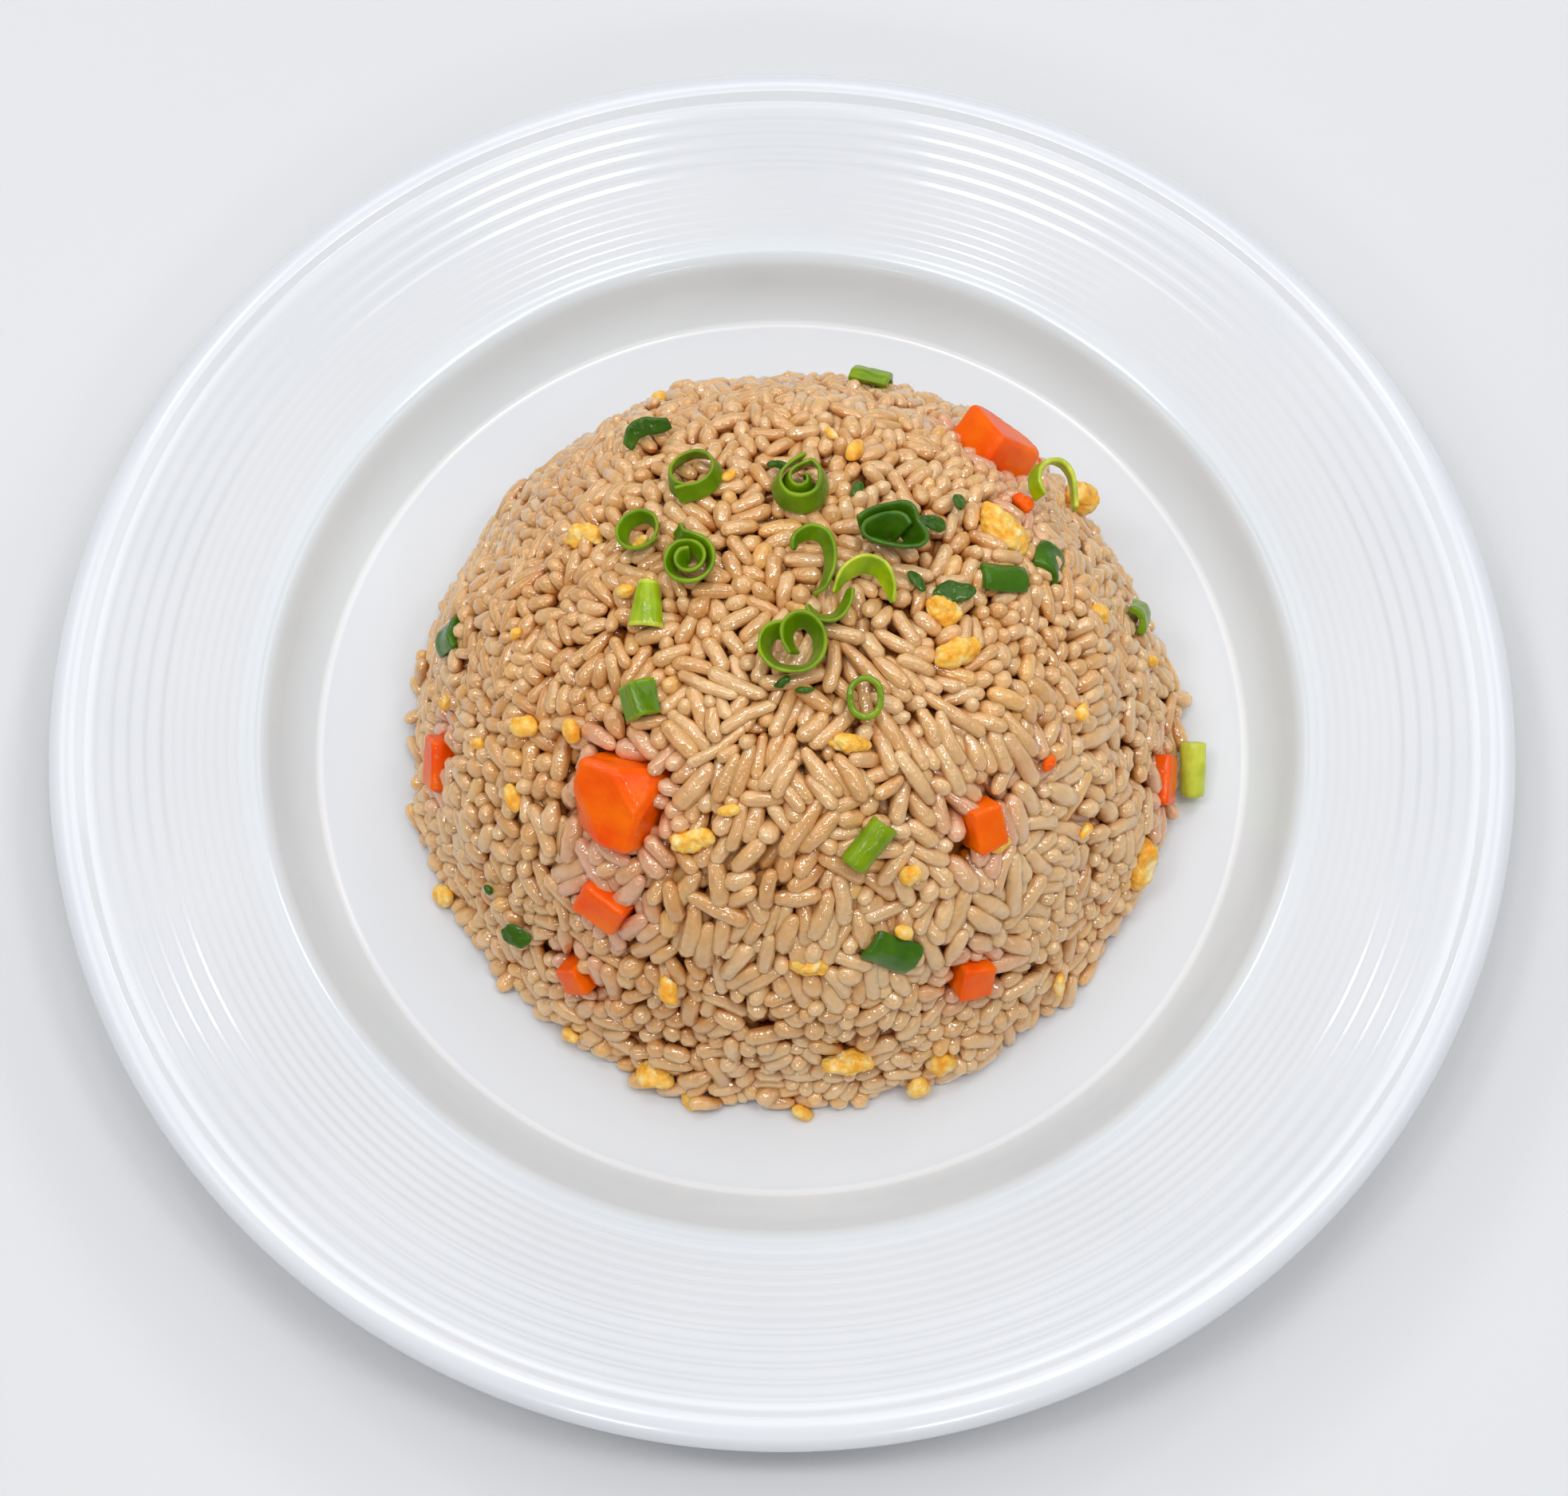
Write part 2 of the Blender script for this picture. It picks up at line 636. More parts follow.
def ease_apart(grains, obstacles, rounds):
    """Pushes grains off each other and off the toppings, and draws them to their depth."""
    head, tail, radius, half = (grains[key] for key in ("head", "tail", "radius", "half"))
    for round_number in range(rounds):
        if round_number % 8 == 0:
            centre = 0.5 * (head + tail)
            pair_a, pair_b = near_pairs(centre, centre, GRAIN_REACH, True)
            solid_a, solid_b = near_pairs(centre, obstacles, TOPPING_REACH, False)
        push_head = np.zeros_like(head)
        push_tail = np.zeros_like(tail)
        share_a, share_b = segment_contacts(head[pair_a], tail[pair_a], head[pair_b], tail[pair_b])
        on_a = head[pair_a] + (tail[pair_a] - head[pair_a]) * share_a[:, None]
        on_b = head[pair_b] + (tail[pair_b] - head[pair_b]) * share_b[:, None]
        apart = on_a - on_b
        gap = np.maximum(np.linalg.norm(apart, axis=1), 1e-6)
        overlap = TOUCH * (radius[pair_a] + radius[pair_b]) - gap
        hit = overlap > 0.0
        move = apart[hit] * (0.38 * overlap[hit] / gap[hit])[:, None]
        for index, share, way in ((pair_a, share_a, 1.0), (pair_b, share_b, -1.0)):
            add_up(push_head, index[hit], way * move * (1.0 - share[hit])[:, None])
            add_up(push_tail, index[hit], way * move * share[hit][:, None])
        along = tail[solid_a] - head[solid_a]
        share = ((obstacles[solid_b] - head[solid_a]) * along).sum(1)
        share = np.clip(share / np.maximum((along * along).sum(1), 1e-6), 0.0, 1.0)
        apart = head[solid_a] + along * share[:, None] - obstacles[solid_b]
        gap = np.maximum(np.linalg.norm(apart, axis=1), 1e-6)
        overlap = 0.95 * radius[solid_a] - gap
        hit = overlap > 0.0
        move = apart[hit] * (0.3 * overlap[hit] / gap[hit])[:, None]
        add_up(push_head, solid_a[hit], move * (1.0 - share[hit])[:, None])
        add_up(push_tail, solid_a[hit], move * share[hit][:, None])
        for push in (push_head, push_tail):
            push *= np.minimum(1.0, 0.6 / np.maximum(np.linalg.norm(push, axis=1), 1e-6))[:, None]
        head += push_head
        tail += push_tail
        for end, wanted in ((head, grains["head_depth"]), (tail, grains["tail_depth"])):
            inside, normal = heap_depth(end)
            error = inside + ROUGHNESS * smooth_noise(end, 9.0, 5) - wanted
            pull = np.where(error > 0.0, 0.10, 0.45) * error
            end += normal * np.clip(pull, -0.8, 0.2)[:, None]
            end[:, 2] = np.maximum(end[:, 2], HEAP_BASE + radius)
        centre = 0.5 * (head + tail)
        along = tail - head
        along *= (half / np.maximum(np.linalg.norm(along, axis=1), 1e-6))[:, None]
        head[:] = centre - along
        tail[:] = centre + along


def clear_of(grains, points):
    """How far each point is from the skin of the nearest grain."""
    along = grains["tail"] - grains["head"]
    square = np.maximum((along * along).sum(1), 1e-6)
    nearest = []
    for start in range(0, len(points), 200):
        part = points[start : start + 200]
        share = ((part[:, None] - grains["head"][None]) * along[None]).sum(2) / square[None]
        share = np.clip(share, 0.0, 1.0)[:, :, None]
        gap = part[:, None] - grains["head"][None] - along[None] * share
        nearest.append((np.linalg.norm(gap, axis=2) - grains["radius"][None]).min(1))
    return np.concatenate(nearest)


def hidden_in_topping(places, trees):
    """Which places are inside a topping, where a grain would never be seen."""
    inside = np.zeros(len(places), bool)
    for number, place in enumerate(places):
        point = Vector(place)
        for tree in trees:
            found, normal, _, _ = tree.find_nearest(point, TOPPING_SEARCH)
            if found is not None and (point - found).dot(normal) < 0.0:
                inside[number] = True
                break
    return inside


def pack_grains(draw, obstacles, trees):
    """Two layers of grains eased apart, then more put where holes are left, and eased again."""
    grains = with_more(
        lay_grains(draw, OUTER_GRAINS, 0.0, 0.5), lay_grains(draw, INNER_GRAINS, INNER_DEPTH, 0.3)
    )
    foot = lay_grains(draw, FOOT_TRIES, -1.5, 0.85)
    foot = chosen_grains(foot, 0.5 * (foot["head"] + foot["tail"])[:, 2] < HEAP_BASE + 3.5)
    grains = with_more(grains, foot)
    centre = 0.5 * (grains["head"] + grains["tail"])
    grains = chosen_grains(grains, ~hidden_in_topping(centre, trees))
    ease_apart(grains, obstacles, PACK_ROUNDS)
    more = lay_grains(draw, FILL_TRIES, 0.5, 0.3, 0.75)
    centre = 0.5 * (more["head"] + more["tail"])
    room = clear_of(grains, centre) > 0.15
    more = chosen_grains(more, room & ~hidden_in_topping(centre, trees))
    grains = with_more(grains, more)
    ease_apart(grains, obstacles, FILL_ROUNDS)
    return grains


# ---- grain meshes ----

GRAIN_SEGMENTS = 8
GRAIN_RINGS = 6
GRAIN_SHAPES = 12


def grain_shapes(draw):
    """Single grains, each bent and pinched its own way, before they get their length.

    Every point has its place across the grain, its rise over its own end, and which end it is on.
    """
    shapes = []
    for number in range(GRAIN_SHAPES):
        deselect()
        bpy.ops.mesh.primitive_uv_sphere_add(
            segments=GRAIN_SEGMENTS, ring_count=GRAIN_RINGS, radius=1.0
        )
        grain = added(f"grain_{number}")
        points, faces = mesh_arrays(grain.data)
        bpy.data.objects.remove(grain, do_unlink=True)
        lift = np.arcsin(np.clip(points[:, 2], -1.0, 1.0))
        lift = np.interp(lift, np.radians((-90, -60, -30, 0, 30, 60, 90)),
                         np.radians((-90, -58, -20, 0, 20, 58, 90)))
        around = np.arctan2(points[:, 1], points[:, 0])
        end = np.sign(np.round(lift, 3))
        width = np.cos(lift)
        width *= np.where(end > 0.0, draw.uniform(0.74, 1.02), 1.0)
        width *= np.where(end == 0.0, draw.uniform(0.9, 1.12), 1.0)
        width *= 1.0 + draw.uniform(0.02, 0.08) * np.sin(2.0 * around + number)
        width *= 1.0 + draw.normal(0.0, 0.02, len(points))
        tip = np.where(end > 0.0, draw.choice((1.15, 1.15, 1.6)), 1.15)
        shape = {"across": width[:, None] * np.column_stack((np.cos(around), np.sin(around))),
                 "rise": np.sin(lift) * tip, "end": end, "bend": draw.uniform(0.0, 0.22)}
        shapes.append((shape, faces))
    return shapes


def joined_grains(name, shapes, draw, grains, shades):
    """One mesh of many grains: each takes a shape, its own length, width and bend."""
    all_points = []
    all_faces = []
    all_shades = []
    start = 0
    for head, tail, radius, shade in zip(grains["head"], grains["tail"], grains["radius"], shades):
        shape, faces = shapes[draw.integers(len(shapes))]
        along = tail - head
        half = 0.5 * np.linalg.norm(along)
        axis = along / (2.0 * half)
        centre = 0.5 * (head + tail)
        _, normal = heap_depth(centre[None, :])
        side = np.cross(axis, normal[0] + 0.3 * draw.normal(size=3))
        side /= np.linalg.norm(side)
        third = np.cross(axis, side)
        reach = shape["end"] * half + radius * shape["rise"]
        share = reach / (half + radius)
        sag = shape["bend"] * draw.choice((-1.0, 1.0)) * (share**2 - 0.4) * half
        flat = draw.uniform(0.86, 1.0)
        placed = (
            centre
            + side * (shape["across"][:, 0] * radius + sag)[:, None]
            + third * (shape["across"][:, 1] * radius * flat)[:, None]
            + axis * reach[:, None]
        )
        all_points.append(placed * MM)
        all_faces.extend(tuple(start + index for index in face) for face in faces)
        skin = np.repeat(shade[None, :], len(placed), 0)
        proud = (placed - centre) @ normal[0] / radius
        skin[:, 0] = np.clip(shade[0] + 0.16 * proud, 0.0, 1.0)
        skin[:, 1] = np.clip(shade[1] + 1.2 * (0.33 - proud), 0.0, 1.0)
        all_shades.append(skin)
        start += len(placed)
    mesh = bpy.data.meshes.new(name)
    mesh.from_pydata(np.concatenate(all_points), [], all_faces)
    shade_layer = mesh.attributes.new("grain_shade", "FLOAT_COLOR", "POINT")
    shade_layer.data.foreach_set("color", np.concatenate(all_shades).ravel())
    mesh.polygons.foreach_set("use_smooth", np.ones(len(all_faces), bool))
    mesh.validate()
    piece = bpy.data.objects.new(name, mesh)
    bpy.context.scene.collection.objects.link(piece)
    return piece


def make_core():
    """The heap's inside: a smaller dome with grain-like relief, seen only between grains."""
    deselect()
    bpy.ops.mesh.primitive_uv_sphere_add(segments=120, ring_count=80, radius=1.0)
    core = added("rice_core")
    points, _ = mesh_arrays(core.data)
    upper = np.maximum(points[:, 2], 0.0)
    radius, height = heap_section(SECTION_POINTS)
    steps = np.arange(float(SECTION_POINTS))
    share = np.arcsin(np.clip(upper, 0.0, 1.0)) / (math.pi / 2.0) * steps[-1]
    away = np.interp(share, steps, radius)
    up = np.interp(share, steps, height)
    level = np.hypot(points[:, 0], points[:, 1])
    lower = points[:, 2] < 0.0
    away[lower] = HEAP_RADIUS * level[lower]
    turn = np.arctan2(points[:, 1], points[:, 0])
    placed = np.column_stack(
        (away * np.cos(turn) + HEAP_CENTRE[0], away * np.sin(turn) + HEAP_CENTRE[1], up + HEAP_BASE)
    )
    _, normal = heap_depth(placed)
    relief = 0.7 * smooth_noise(placed, 2.2, 11)
    placed -= normal * (CORE_DEPTH + relief)[:, None]
    placed[:, 2] = np.maximum(placed[:, 2], HEAP_BASE + 0.05)
    core.data.vertices.foreach_set("co", (placed * MM).ravel())
    core.data.update()
    only(core)
    bpy.ops.object.shade_smooth()
    return settle(core)


# ---- toppings ----

FRONT_TIP = 0.12
FRONT_VIEW = Vector((0.0, -0.345, 0.939))  # what slices are tipped towards


def bearing_direction(bearing):
    turn = math.radians(bearing)
    return np.array((math.sin(turn), -math.cos(turn)))


def on_heap(bearing, latitude):
    """Place on the heap's outside on the line that leaves its foot at this latitude."""
    radius, height = heap_section(1200)
    pick = np.interp(math.tan(math.radians(latitude)), height / np.maximum(radius, 1e-3),
                     np.arange(1200.0))
    level = bearing_direction(bearing) * np.interp(pick, np.arange(1200.0), radius)
    up = np.interp(pick, np.arange(1200.0), height)
    place = np.array((HEAP_CENTRE[0] + level[0], HEAP_CENTRE[1] + level[1], HEAP_BASE + up))
    _, normal = heap_depth(place[None, :])
    return Vector(place), Vector(normal[0])


def seat_frame(bearing, latitude, lift, spin=0.0, front=FRONT_TIP):
    """Rests local Z straight out of the heap, tipped a little to the front, X level."""
    place, outward = on_heap(bearing, latitude)
    toward = (outward * (1.0 - front) + FRONT_VIEW * front).normalized()
    level = (Vector((1.0, 0.0, 0.0)) - toward * toward.x).normalized()
    turned = Matrix((level, toward.cross(level), toward)).transposed()
    turned = turned @ Matrix.Rotation(math.radians(spin), 3, "Z")
    return Matrix.Translation((place + outward * lift) * MM) @ turned.to_4x4()


def smooth_path(corners, shares):
    """A curve through the corners, at shares of its way from 0 to 1."""
    corners = np.array(corners, float)
    ends = np.vstack((2.0 * corners[0] - corners[1], corners, 2.0 * corners[-1] - corners[-2]))
    spans = len(corners) - 1
    whole = np.minimum((shares * spans).astype(int), spans - 1)
    t = (shares * spans - whole)[:, None]
    a, b, c, d = (ends[whole + step] for step in range(4))
    return 0.5 * (2.0 * b + (c - a) * t + (2.0 * a - 5.0 * b + 4.0 * c - d) * t**2
                  + (3.0 * b - a - 3.0 * c + d) * t**3)


def add_displace(piece, size, strength):
    """Raises and sinks the skin by a cloudy pattern."""
    pattern = bpy.data.textures.new(piece.name + "_pattern", "CLOUDS")
    pattern.noise_scale = size
    uneven = piece.modifiers.new("uneven", "DISPLACE")
    uneven.texture = pattern
    uneven.texture_coords = "LOCAL"
    uneven.strength = strength
    uneven.mid_level = 0.5


def subdivide(piece, levels, simple=False):
    divide = piece.modifiers.new("divide", "SUBSURF")
    divide.subdivision_type = "SIMPLE" if simple else "CATMULL_CLARK"
    divide.levels = levels
    divide.render_levels = levels


CURL_STEPS = 44
CURL_ROWS = 4


def curl(name, place, corners, width, wall, lean=0.0, taper=0.0, flare=0.0, spin=0.0,
         front=FRONT_TIP, size=1.0):
    """A strip of leaf that follows a path over the rice, standing on edge or leaning over."""
    corners = size * np.array(corners, float)
    width = size * width
    deselect()
    bpy.ops.mesh.primitive_grid_add(
        x_subdivisions=CURL_STEPS, y_subdivisions=CURL_ROWS, size=1.0
    )
    piece = added(name)
    points, _ = mesh_arrays(piece.data)
    along = np.clip(points[:, 0] + 0.5, 0.0, 1.0)
    across = 2.0 * points[:, 1]
    step = 0.004
    middle = smooth_path(corners, along)
    ahead = smooth_path(corners, np.minimum(along + step, 1.0))
    ahead -= smooth_path(corners, np.maximum(along - step, 0.0))
    ahead[:, 2] = 0.0
    ahead /= np.linalg.norm(ahead, axis=1)[:, None]
    beside = np.column_stack((ahead[:, 1], -ahead[:, 0], np.zeros(len(ahead))))
    angle = math.radians(lean)
    rise = np.array((0.0, 0.0, math.cos(angle))) + beside * math.sin(angle)
    thin = 1.0 - taper * np.abs(2.0 * along - 1.0) ** 2.5
    shaped = middle * (1.0 + flare * across)[:, None] * (1, 1, 0) + middle * (0, 0, 1)
    shaped = shaped + rise * (0.5 * width * thin * across)[:, None]
    frame_matrix = np.array(seat_frame(*place, spin, front))
    shaped = shaped * MM @ frame_matrix[:3, :3].T + frame_matrix[:3, 3]
    piece.data.vertices.foreach_set("co", shaped.ravel())
    edge = piece.data.attributes.new("slice_edge", "FLOAT", "POINT")
    edge.data.foreach_set("value", (np.abs(across) > 0.99).astype(float))
    piece.data.update()
    only(piece)
    bpy.ops.object.mode_set(mode="EDIT")
    bpy.ops.mesh.select_all(action="SELECT")
    bpy.ops.mesh.remove_doubles(threshold=0.00002)
    bpy.ops.mesh.normals_make_consistent(inside=False)
    bpy.ops.object.mode_set(mode="OBJECT")
    thicken = piece.modifiers.new("thicken", "SOLIDIFY")
    thicken.thickness = wall * MM
    thicken.offset = 0.0
    subdivide(piece, 2)
    add_displace(piece, 2.6 * MM, 0.3 * MM)
    apply_all(piece)
    bpy.ops.object.shade_smooth()
    settle(piece)
    return piece


TALL_CARROT = "carrot_large"
TALL_CARROT_SQUASH = (0.97, 0.86, 0.92)


def make_carrot(node_name, material):
    carrot = merged_copy(node_name, "diced_" + node_name)
    if node_name == TALL_CARROT:
        points, _ = mesh_arrays(carrot.data)
        middle = 0.5 * (points.min(0) + points.max(0))
        points = middle + (points - middle) * TALL_CARROT_SQUASH
        carrot.data.vertices.foreach_set("co", points.ravel())
        carrot.data.update()
    soften = carrot.modifiers.new("soften", "BEVEL")
    soften.width = 0.3 * MM
    soften.segments = 2
    soften.limit_method = "ANGLE"
    subdivide(carrot, 3, True)
    add_displace(carrot, 2.4 * MM, 0.3 * MM)
    add_displace(carrot, 0.9 * MM, 0.22 * MM)
    apply_all(carrot)
    bpy.ops.object.shade_smooth()
    return keep(carrot, material, "carrot", node_name)


def make_egg(node_name, material):
    egg = merged_copy(node_name, "crinkled_" + node_name)
    subdivide(egg, 3)
    add_displace(egg, 2.8 * MM, 1.8 * MM)
    add_displace(egg, 1.0 * MM, 0.45 * MM)
    apply_all(egg)
    bpy.ops.object.shade_smooth()
    return keep(egg, material, "egg", node_name)


SHARP_ANGLE = 0.9


def mark_cut_edges(piece):
    """Marks the narrow faces where the knife went, and keeps them crisp."""
    shape = bmesh.new()
    shape.from_mesh(piece.data)
    creases = shape.edges.layers.float.new("crease_edge")
    cut = shape.faces.layers.float.new("slice_edge")
    sharp = {edge.index for edge in shape.edges
             if len(edge.link_faces) != 2 or edge.calc_face_angle() > SHARP_ANGLE}
    for edge in shape.edges:
        edge[creases] = 0.5 if edge.index in sharp else 0.0
    for face in shape.faces:
        face[cut] = 1.0 if sum(edge.index in sharp for edge in face.edges) >= 2 else 0.0
    shape.to_mesh(piece.data)
    shape.free()


def make_leaf(node_name, material, slot):
    leaf = merged_copy(node_name, "cut_" + node_name)
    mark_cut_edges(leaf)
    subdivide(leaf, 3)
    add_displace(leaf, 2.6 * MM, 0.7 * MM)
    apply_all(leaf)
    bpy.ops.object.shade_smooth()
    return keep(leaf, material, slot, node_name)


# Slices made from strips: place (bearing, latitude, lift), then the path of the strip.
CURLS = {
    "ring_left": dict(
        place=(-144, 65.7, 1.5), width=3.2, wall=0.6, lean=-17,
        corners=((-2.2, -4.2, 0.6), (-0.7, -3.7, 0.3), (1.5, -3.1, 0), (3.1, -1.7, 0),
                 (3.6, 0.4, 0), (2.7, 2.5, 0), (0.6, 3.5, 0), (-1.7, 3.0, 0), (-3.3, 1.2, 0),
                 (-3.4, -0.9, 0), (-2.4, -2.5, 0), (-0.8, -3.1, -0.3)),
    ),
    "rolled_back": dict(
        place=(178, 73, 2.0), size=0.9, width=4.2, wall=0.7, lean=-20,
        corners=((0.7, 4.6, 0.8), (-1.6, 3.3, 0.5), (-3.5, 1.2, 0.2), (-3.7, -1.3, 0),
                 (-2.3, -3.4, 0), (0.2, -4.1, 0), (2.6, -3.1, 0), (3.7, -0.8, 0.1),
                 (3.5, 1.8, 0.3), (2.0, 3.5, 0.6), (0.1, 2.9, 0.4), (-1.9, 1.6, 0.2),
                 (-2.3, -0.2, 0), (-1.3, -1.9, 0), (0.4, -2.1, 0), (1.7, -0.9, 0),
                 (1.5, 0.9, 0), (0.4, 1.2, 0)),
    ),
    "ring_small": dict(
        place=(-116, 66, 1.5), size=0.92, width=3.0, wall=0.6, lean=-24,
        corners=((3.4, -1.9, 0.8), (1.5, -2.8, 0.4), (-0.9, -2.7, 0), (-2.6, -1.3, 0),
                 (-2.9, 0.7, 0), (-1.9, 2.4, 0), (0.2, 3.0, 0), (2.2, 2.0, 0), (2.8, 0.1, 0),
                 (2.2, -1.6, -0.2), (0.9, -2.2, -0.4)),
    ),
    "rolled_left": dict(
        place=(-110.5, 74.7, 1.9), size=0.8, width=4.2, wall=0.7, lean=-28,
        corners=((-2.4, 6.0, 1.2), (-1.5, 4.2, 0.8), (0.6, 3.5, 0.4), (2.6, 2.4, 0.2),
                 (3.6, 0.2, 0), (3.1, -2.3, 0), (1.2, -3.9, 0), (-1.4, -3.9, 0),
                 (-3.4, -2.4, 0), (-3.7, 0.0, 0), (-2.6, 2.0, 0), (-0.7, 2.4, 0.1),
                 (1.1, 1.7, 0.3), (2.0, 0.0, 0.4), (1.3, -1.7, 0.4), (-0.5, -2.2, 0.4),
                 (-1.9, -0.9, 0.4), (-1.3, 0.6, 0.4), (0.0, 0.7, 0.4)),
    ),
    "curl_top": dict(
        place=(156, 84.5, 2.0), size=0.87, width=3.8, wall=0.7, lean=-30, taper=0.75,
        corners=((-3.2, 1.6, 0.4), (-2.6, 3.6, 0.5), (-0.2, 4.8, 0.6), (2.1, 3.8, 0.5),
                 (3.0, 1.0, 0.3), (2.8, -2.0, 0), (1.8, -4.6, -0.4), (0.2, -5.8, -0.8)),
    ),
    "crescent_top": dict(
        place=(103, 80.5, 2.1), width=3.8, wall=0.7, lean=-32, taper=0.85,
        corners=((-4.4, -2.2, 0), (-2.7, 0.5, 0.7), (-0.2, 1.9, 1.0), (2.3, 1.3, 0.9),
                 (3.7, -1.0, 0.4), (4.2, -3.4, -0.2)),
    ),
    "cup_top": dict(
        place=(66, 85.0, 1.5), width=3.4, wall=0.6, lean=34, taper=0.6,
        corners=((-3.2, 0.4, 0), (-1.5, -1.3, 0), (0.8, -1.3, 0), (2.3, 0.4, 0.3),
                 (3.2, 2.8, 0.7)),
    ),
    "folded_right": dict(
        place=(125.5, 74.0, 2.2), size=0.84, width=5.6, wall=0.8, lean=-32,
        corners=((-5.6, 0.4, 0.2), (-3.4, 2.0, 0.3), (-0.4, 3.0, 0.3), (2.4, 3.6, 0.2),
                 (3.2, 1.2, 0), (4.8, -1.6, 0), (2.0, -2.2, -0.2), (-1.4, -1.8, -0.2),
                 (-4.4, -0.8, 0.1), (-2.2, 0.8, 0.3), (0.8, 1.5, 0.3), (2.0, -0.1, 0.1)),
    ),
    "rolled_front": dict(
        place=(-4, 82.3, 2.0), size=0.87, width=4.4, wall=0.7, lean=-28,
        corners=((0.4, -2.0, 1.6), (-0.8, 0.3, 1.3), (-0.8, 2.6, 1.0), (0.6, 4.2, 0.6),
                 (2.7, 4.0, 0.3), (4.3, 2.0, 0), (4.5, -0.8, 0), (3.0, -3.3, 0),
                 (0.3, -4.1, 0), (-2.7, -3.4, 0), (-4.5, -1.2, 0), (-4.3, 1.3, 0.1),
                 (-2.8, 2.6, 0.2), (-0.9, 2.4, 0.2)),
    ),
    "ring_front": dict(
        place=(33, 72.8, 1.0), width=1.9, wall=0.95, front=0.9,
        corners=((2.2, 0, 0), (1.75, 1.9, 0), (0, 2.8, 0), (-1.75, 1.9, 0), (-2.2, 0, 0),
                 (-1.75, -1.9, 0), (0, -2.8, 0), (1.75, -1.9, 0), (2.2, 0, 0)),
    ),
    "loop_right": dict(
        place=(122, 46.0, 5.2), width=3.2, wall=0.8, lean=-12, front=0.6,
        corners=((3.8, -3.8, -1.2), (3.4, -1.6, -0.6), (2.9, 0.7, 0), (1.4, 2.7, 0.3),
                 (-0.9, 2.9, 0.3), (-2.7, 1.4, 0), (-3.0, -0.9, 0), (-1.9, -2.7, -0.4)),
    ),
    "arch_back": dict(
        place=(-145, 51, 0.8), width=3.0, wall=1.0, lean=-40, taper=0.4, front=0.5,
        corners=((-3.4, -1.6, -0.8), (-2.2, 0.3, 0.1), (-0.5, 0.9, 0.5), (1.3, 0.9, 0.4),
                 (3.2, 1.6, -0.4)),
    ),
    "stub": dict(
        place=(-89, 69.5, 1.1), width=7.0, wall=0.6, lean=90, front=0.5, spin=-4, flare=0.32,
        corners=((-1.9, 0, -0.5), (-1.3, 0, 0.7), (0, 0, 1.2), (1.3, 0, 0.7), (1.9, 0, -0.5)),
    ),
    "chop_left": dict(
        place=(-57.5, 64.5, 1.0), width=5.4, wall=0.9, lean=90, front=0.3, spin=24,
        corners=((-2.6, 0.3, -1.0), (-1.3, 0.1, 0.1), (-0.2, 0.0, 1.3), (1.1, -0.1, 0.2),
                 (2.4, -0.4, -1.0)),
    ),
}


CRUMB_SEGMENTS = 14
CRUMB_RINGS = 10


def blob(name, size, turn):
    """A rounded lump of the given size in millimetres, turned, at its own origin."""
    deselect()
    bpy.ops.mesh.primitive_uv_sphere_add(
        segments=CRUMB_SEGMENTS, ring_count=CRUMB_RINGS, radius=0.5 * MM
    )
    piece = added(name)
    piece.scale = size
    piece.rotation_euler = turn
    return settle(piece)


def place_blob(piece, bearing, latitude, lift):
    piece.matrix_world = seat_frame(bearing, latitude, lift, front=0.0)
    return settle(piece)


def joined(pieces, name):
    deselect()
    for piece in pieces:
        piece.select_set(True)
    bpy.context.view_layer.objects.active = pieces[0]
    bpy.ops.object.join()
    pieces[0].name = name
    pieces[0].data.name = name
    return pieces[0]


# Crumbs of egg: bearing, latitude and size in millimetres.
EGG_CRUMBS = (
    (-63, 53, 3.7), (-71, 45.5, 4.0), (-62, 37, 4.0), (-75, 33.6, 2.6), (24, 47.7, 3.5),
    (76, 43, 3.5), (98, 39, 3.5), (43, 44, 3.5), (43, 9, 3.3), (-21, 26.6, 4.2),
    (-34.5, 4, 2.7), (-64, 2, 4.5), (-15, 1, 4.0), (1, 1, 4.2), (-96, 66, 2.8),
    (161, 64, 4.0), (169.5, 61.5, 2.4), (-155, 68, 2.5), (-156, 28, 3.0), (-87, 24, 3.0),
    (-114, 66, 2.8), (59, 31.5, 2.4), (96, 19, 2.2), (100, 1, 3.0), (-18, 59, 3.0),
    (20, 39, 2.6), (-91, 46.5, 2.0), (18, 3, 4.3),
)
# Flecks of leaf: bearing, latitude, length and width.
LEAF_FLECKS = (
    (-48, 17, 4.6, 3.6), (126, 61, 2.9, 2.4), (123, 67, 4.1, 3.0), (95, 68, 5.8, 3.2),
    (153, 71, 2.9, 1.7), (-56, 19, 1.7, 1.4), (100, 73, 3.4, 2.0), (-173, 68.5, 3.0, 1.3),
    (5, 76.5, 2.6, 1.0), (-9, 77.5, 2.4, 1.2),
)
CARROT_CRUMBS = ((122, 48.5, 3.6), (134, 27, 2.0), (62, 46, 2.4))


LEAF_THICKNESS = 1.1
CRUMB_THICKNESS = 0.8  # of a crumb's width
LENGTH_FACTOR = 1.15  # a lump's length over the length listed for it
FLECK_WIDTH_FACTOR = 1.1
CRUMB_LIFTS = {"egg": 0.1, "leaf": 0.4, "carrot": 0.2}


